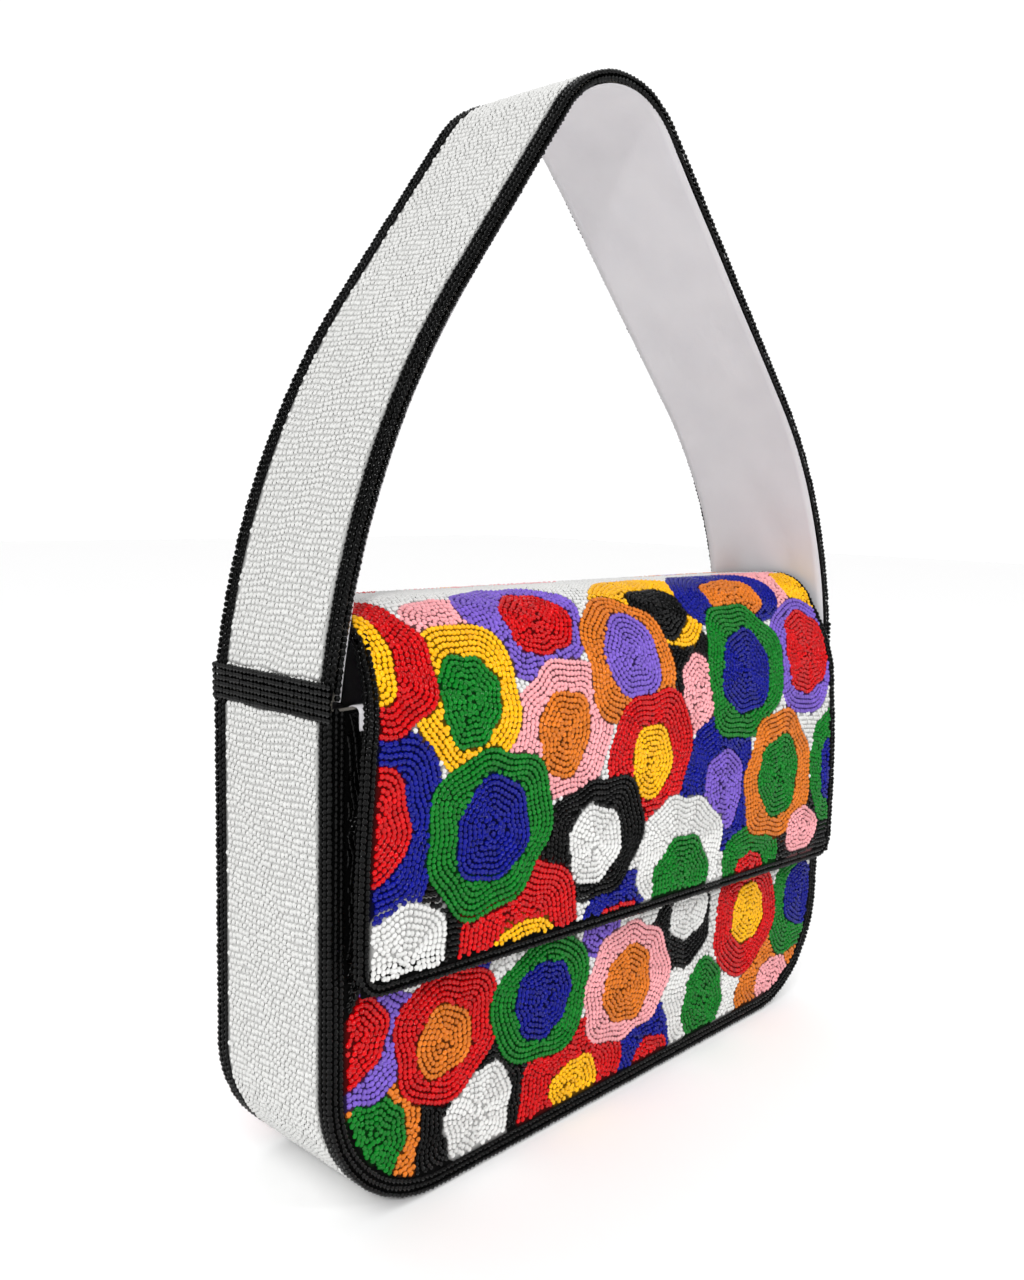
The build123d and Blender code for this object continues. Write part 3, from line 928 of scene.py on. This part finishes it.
def pressedBoard(name, hexText):
    # Grey board with a fibrous, matt face
    material, tree, shader = newMaterial(name, hexText, 0.85, 1.45)
    place = addNode(tree, "ShaderNodeTexCoord").outputs["Object"]
    fibres = addNode(tree, "ShaderNodeTexNoise", values={"Scale": 700.0, "Detail": 4.0},
                     links={"Vector": place})
    shade = addNode(tree, "ShaderNodeValToRGB", links={"Fac": fibres.outputs["Fac"]})
    r, g, b, _ = linear(hexText)
    shade.color_ramp.elements[0].color = (r * 0.75, g * 0.75, b * 0.75, 1)
    shade.color_ramp.elements[1].color = (r * 1.1, g * 1.1, b * 1.1, 1)
    tree.links.new(shade.outputs["Color"], shader.inputs["Base Color"])
    return material


def platedMetal(name, hexText):
    # Nickel plate, polished, with fine turning marks that dull it unevenly
    material, tree, shader = newMaterial(name, hexText, 0.24, 1.5, metallic=1.0)
    place = addNode(tree, "ShaderNodeTexCoord").outputs["Object"]
    marks = addNode(tree, "ShaderNodeTexNoise", values={"Scale": 1500.0, "Detail": 2.0},
                    links={"Vector": place})
    dull = addNode(tree, "ShaderNodeMapRange", values={"To Min": 0.18, "To Max": 0.34},
                   links={"Value": marks.outputs["Fac"]})
    tree.links.new(dull.outputs["Result"], shader.inputs["Roughness"])
    return material


def threadCloth(name):
    # The cloth that the beads are sewn to: it takes the colour of its beads, dimmed as painted shade in the
    # gaps between them
    material, tree, shader = newMaterial(name, "8A8A88", 0.9, 1.45, extra={"Specular IOR Level": 0.1})
    ground = addNode(tree, "ShaderNodeAttribute", {"attribute_name": "ground"})
    tree.links.new(ground.outputs["Color"], shader.inputs["Base Color"])
    return material


satin = satinCloth("liningSatin", "D4D2D4")
pocketSatin = satinCloth("pocketSatin", "D2D0D1")
board = pressedBoard("stiffBoard", "8F8A82")
nickel = platedMetal("nickelPlate", "C9C6BF")
clothUnderBeads = threadCloth("threadCloth")


def groundColours(made, flat, flowerList, ground, within, dim):
    # Gives each vertex of the base cloth the colour of the beads above it, dimmed as painted shade for the
    # gaps between beads, black under the edge rows
    flatU, flatV = flat
    shade = colourAt(flatU, flatV, flowerList, ground)
    shade[~within(flatU, flatV)] = colours.index("black")
    table = np.array([linear(palette[c]) for c in colours])
    # dim darkens each colour: painted shade for the gaps between the beads, lighter under white beads
    table[:, :3] *= np.array([[max(dim, 0.5) if c == "white" else dim] for c in colours])
    count = len(flatU)
    every = np.concatenate([table[shade]] * 2)
    layer = made.data.color_attributes.new("ground", "FLOAT_COLOR", "POINT")
    layer.data.foreach_set("color", every.astype(np.float32).ravel())


# dim sets how dark the painted shade between the beads is, as a share of the beads' colour
def baseCloth(name, place, half, vs, flowerList, ground, within, dim=0.12, step=1.9):
    made = thinSheet(name, place, half, vs, beads["across"] * 0.42, 0.9, step)
    halves = np.array([half(x) if callable(half) else half for x in vs], float)
    columns = max(4, int(2 * halves.max() / step))
    uu = np.linspace(-1, 1, columns + 1)[None, :] * halves[:, None]
    vv = np.repeat(np.asarray(vs)[:, None], columns + 1, 1)
    groundColours(made, (uu.ravel(), vv.ravel()), flowerList, ground, within, dim)
    return wear(made, clothUnderBeads)


def steps(low, high, step=1.9):
    return np.linspace(low, high, max(2, int((high - low) / step)) + 1)


def roundedHalf(side, corner, bottom):
    # Half width of a panel with rounded lower corners, at a height
    def half(z):
        drop = corner - (z - bottom)
        return side if drop <= 0 else side - corner + math.sqrt(max(corner * corner - drop * drop, 0))
    return half


plainWhite = lambda u, v: np.full(len(u), whiteShade)
foldTop = lengthAt(bag["back"], 171.0)
clothEnd = clothStart + clothLine["total"]


def clothSide(inset):
    # Half width of the whole cloth at a distance v, less an inset
    panel = roundedHalf(bag["half"] - inset, bag["corner"] - inset, inset)

    def half(v):
        if v > 247.3:
            return panel(clothEnd - v)
        return float(np.interp(v, [flap["flare"], 165],
                               [flap["half"] - inset, flap["crownHalf"] - min(inset, 0.6)]))
    return half


def narrowed(depthSide, neckInset):
    return lambda v: float(np.interp(v, [flap["flare"], 165],
                                     [flap["half"] - depthSide, flap["crownHalf"] - neckInset]))


flapSide = narrowed(1.6, 0.6)
flapRows = steps(flap["bottom"] - flap["skew"] * 0 + 1.4, topCut)


def skewed(u, v, depth):
    # Follows the lower edge, which isn't level
    drop = np.clip((120 - v) / 54, 0, 1)
    return clothPlace(u, v - flap["skew"] * u * drop, depth)


spans = {
    "flapCloth": (skewed, flapSide, flapRows, "flap_bead_cloth", bendFront),
    "crownCloth": (clothPlace, clothSide(0.6), steps(topCut, backCut), "crown_bead_cloth", bendBack),
    "backCloth": (clothPlace, clothSide(1.4), steps(backCut, clothEnd - 1.4), "back_bead_cloth", None),
}
for name, (place, half, vs, node, bend) in spans.items():
    piece = baseCloth(name, place, half, vs, clothFlowers, clothGround, clothWithin)
    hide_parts(node)
    bend(piece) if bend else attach(piece, "body")
piece = baseCloth("frontCloth", frontPlace, roundedHalf(bag["half"] - 1.4, bag["corner"] - 1.4, 1.4),
                  steps(1.5, bag["frontTop"] - 0.4), panelFlowers, panelGround, panelWithin)
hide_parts("front_bead_cloth")
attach(piece, "body")

gussetOuter = bandLine(0, bag["seam"] - 5)


def gussetPlace(u, v, depth):
    # The gusset's line, moved inward; its length is that of the outer face
    at, way = onLine(gussetOuter, v)
    depth = np.asarray(depth) * np.ones(len(u))
    zero = np.zeros(len(u))
    normal = np.stack([way[:, 1], zero, -way[:, 0]], -1)
    return np.stack([at[:, 0], u, at[:, 1]], -1) - normal * depth[:, None], normal, None, None


strapOuter = strapLine(0)


def strapPlace(u, v, depth):
    at, way = onLine(strapOuter, v)
    depth = np.asarray(depth) * np.ones(len(u))
    zero = np.zeros(len(u))
    normal = np.stack([-way[:, 1], zero, way[:, 0]], -1)
    return np.stack([at[:, 0], u, at[:, 1]], -1) - normal * depth[:, None], normal, None, None


pieceLength = strapOuter["total"]
for name, place, length, first, foot, node, bend in (
        ("gussetCloth", gussetPlace, gussetOuter["total"], 0, 0, "gusset_bead_cloth", None),
        ("strapCloth", strapPlace, pieceLength, 1.0, 5.5, "strap_bead_cloth", bendStrap)):
    # 0.7 gives a light painted shade in the gaps between the white beads of the gusset and strap
    piece = baseCloth(name, place, bag["back"] - 1.4, steps(first, length - first), [], plainWhite,
                      lambda u, v: (np.abs(u) < reach + 0.3) & (v > foot) & (v < length - foot), 0.7)
    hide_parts(node)
    bend(piece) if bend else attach(piece, "body")

# Boards under the cloth, shaped to its curves
for name, place, half, vs, node, bend in (
        ("flapBoard", skewed, narrowed(3.2, 1.2), steps(flap["bottom"] + 3.2, topCut, 3), "flap_stiffener",
         bendFront),
        ("crownBoard", clothPlace, narrowed(1.2, 1.2), steps(topCut, foldTop, 2), "crown_stiffener",
         bendBack),
        ("strapBoard", strapPlace, lambda v: bag["back"] - 2.6, steps(0.6, pieceLength - 0.6, 3),
         "strap_stiffener",
         bendStrap)):
    piece = wear(thinSheet(name, place, half, vs, 2.1, 1.3), board)
    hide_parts(node)
    bend(piece)
print("cloth and boards under the beads made")

liningDepth = 3.55
liners = {
    "flapLining": (skewed, narrowed(2.9, 2.0), steps(flap["bottom"] + 3.0, topCut, 3), "flap_lining",
                   bendFront),
    "crownLining": (clothPlace, narrowed(2.0, 2.0), steps(topCut, foldTop, 2), "crown_lining", bendBack),
    "backLining": (clothPlace, clothSide(4.2), steps(foldTop, clothEnd - 4.6, 3), "back_lining", None),
    "frontLining": (frontPlace, roundedHalf(bag["half"] - 4.2, bag["corner"] - 4.2, 4.2),
                    steps(4.6, bag["frontTop"] - 0.4, 3), "front_lining", None),
    "gussetLining": (gussetPlace, lambda v: bag["back"] - 4.0, steps(0, gussetOuter["total"], 3),
                     "gusset_lining", None),
    "strapLining": (strapPlace, lambda v: bag["back"] - 1.2, steps(0.6, pieceLength - 0.6, 2.2),
                    "strap_lining", bendStrap),
}
for i, (name, (place, half, vs, node, bend)) in enumerate(liners.items()):
    amount = 0.8 if name == "strapLining" else 0.6
    swell = creases(46 if name == "strapLining" else 60, amount, 40 + i)
    piece = wear(thinSheet(name, place, half, vs, liningDepth, 0.35, 3.0, lambda u, v: swell(u, v) + 0.3),
                 satin)
    width = 2 * max(half(x) if callable(half) else half for x in vs) * mm
    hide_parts(node)
    length = (vs[-1] - vs[0]) * mm
    bend(piece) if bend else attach(piece, "body")
print("linings made")


# Slip pocket on the back lining, and the binding over the front's top edge

pocketLow, pocketHigh = edgesOf("slip_pocket")


def pocketPlace(u, v, depth):
    zero = np.zeros(len(u))
    return np.stack([u, pocketHigh[1] - 0.3 - depth, v], -1), np.stack([zero, zero - 1, zero], -1), None, None


def pocketSwell(u, v):
    # Flat at its three sewn sides, a little open at the top
    side = np.clip(1 - (u / pocketHigh[0]) ** 2, 0, 1)
    rise = np.clip((v - pocketLow[2]) / (pocketHigh[2] - pocketLow[2]), 0, 1)
    return side * (0.5 + 2.4 * rise ** 3) + creases(40, 0.5, 77)(u, v) * side


pocket = wear(thinSheet("slipPocket", pocketPlace, pocketHigh[0], steps(pocketLow[2], pocketHigh[2], 3), 0,
                        0.7, 3.0, pocketSwell), pocketSatin)
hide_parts("slip_pocket")
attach(pocket, "body")
hemLine = pocketHigh[2] - 9
hem = wear(thinSheet("pocketHem", pocketPlace, pocketHigh[0] - 0.4, steps(hemLine, pocketHigh[2], 1.5), 0.4,
                     0.7, 3.0, lambda u, v: pocketSwell(u, v) + 0.15), pocketSatin)
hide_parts("slip_pocket")
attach(hem, "body")

bindingLow, bindingHigh = edgesOf("mouth_binding")
bindingLine = roundedLine([(bindingLow[1], bindingLow[2]), (bindingLow[1], bindingHigh[2]),
                           (bindingHigh[1], bindingHigh[2]), (bindingHigh[1], bindingLow[2])], [2.0, 2.0])


def bindingPlace(u, v, depth):
    at, way = onLine(bindingLine, v)
    zero = np.zeros(len(u))
    normal = np.stack([zero, -way[:, 1], way[:, 0]], -1)
    depth = np.asarray(depth) * np.ones(len(u))
    return np.stack([u, at[:, 0], at[:, 1]], -1) - normal * depth[:, None], normal, None, None


bindingInset = 5
bindingHalf = bindingHigh[0] - bindingInset
binding = wear(thinSheet("mouthBinding", bindingPlace, bindingHalf, steps(0, bindingLine["total"], 0.9), 0,
                         0.4, 3.0, creases(9, 0.12, 5)), satin)
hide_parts("mouth_binding")
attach(binding, "body")

# The model's own meshes that show as they are
finishes = {"snap_socket": nickel, "snap_socket_washer": nickel, "snap_stud": nickel,
            "snap_stud_washer": nickel,
            "front_stiffener": board, "back_stiffener": board, "gusset_stiffener": board, "base_board": satin}
for node, material in finishes.items():
    wear(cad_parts[node], material)
print("pocket, binding and metal finished")


# Floor, light and camera

floor = meshObject("floor", [(-4, -4, -0.0006), (4, -4, -0.0006), (4, 4, -0.0006), (-4, 4, -0.0006)],
                   [(0, 1, 2, 3)])
wear(floor, newMaterial("paperSweep", "FCFCFC", 0.9, 1.45)[0])   # matt white paper

scene = bpy.context.scene
scene.view_settings.view_transform = "Standard"
world = bpy.data.worlds.new("studioWorld")
scene.world = world
world.use_nodes = True
sky = world.node_tree
sky.nodes["Background"].inputs["Color"].default_value = (1, 1, 1, 1)
direction = addNode(sky, "ShaderNodeTexCoord").outputs["Generated"]
facing = addNode(sky, "ShaderNodeVectorMath", {"operation": "DOT_PRODUCT"}, {1: (0.72, 0.69, 0.0)},
                 {0: direction})
# A lit paper backdrop behind the bag, a dim studio before it
backdrop = addNode(sky, "ShaderNodeMapRange", {"interpolation_type": "SMOOTHSTEP"},
                   {"From Min": -0.1, "From Max": 0.45, "To Min": 0.4, "To Max": 1.1},
                   {"Value": facing.outputs["Value"]})
sky.links.new(backdrop.outputs["Result"], sky.nodes["Background"].inputs["Strength"])


def softbox(name, place, target, size, power):
    light = bpy.data.lights.new(name, "AREA")
    light.shape = "RECTANGLE"
    light.size, light.size_y = size
    light.energy = power
    made = bpy.data.objects.new(name, light)
    made.matrix_world = Matrix.Translation(place) @ \
        (Vector(target) - Vector(place)).to_track_quat("-Z", "Y").to_matrix().to_4x4()
    scene.collection.objects.link(made)
    return made


softbox("keyLight", (-1.05, -0.95, 0.95), (0, 0, 0.12), (0.12, 0.12), 9)
softbox("fillLight", (0.5, -1.5, 0.8), (0, 0, 0.12), (0.16, 0.16), 5)
sun = bpy.data.lights.new("overheadLight", "SUN")
sun.energy = 1.4
sun.angle = math.radians(35)
overhead = bpy.data.objects.new("overheadLight", sun)
overhead.matrix_world = Vector((-0.75, -0.45, 1.0)).to_track_quat("Z", "Y").to_matrix().to_4x4()
overhead.visible_glossy = False   # it lights the bag but makes no highlights of its own
scene.collection.objects.link(overhead)

lens = bpy.data.cameras.new("camera")
lens.lens = 33.0
lens.sensor_width = 36
lens.clip_start = 0.01
camera = bpy.data.objects.new("camera", lens)
scene.collection.objects.link(camera)
scene.camera = camera
heading, tilt, roll = math.radians(-46.17), math.radians(7.08), math.radians(1.25)
backward = Vector((math.sin(heading) * math.cos(tilt), -math.cos(heading) * math.cos(tilt), math.sin(tilt)))
level = Vector((math.cos(heading), math.sin(heading), 0))
up = backward.cross(level)
right = level * math.cos(roll) + up * math.sin(roll)
up = -level * math.sin(roll) + up * math.cos(roll)
turned = Matrix((right, up, backward)).transposed().to_4x4()
camera.matrix_world = Matrix.Translation((-0.3138, -0.2695, 0.2074)) @ turned

bpy.data.objects.remove(beadMesh)
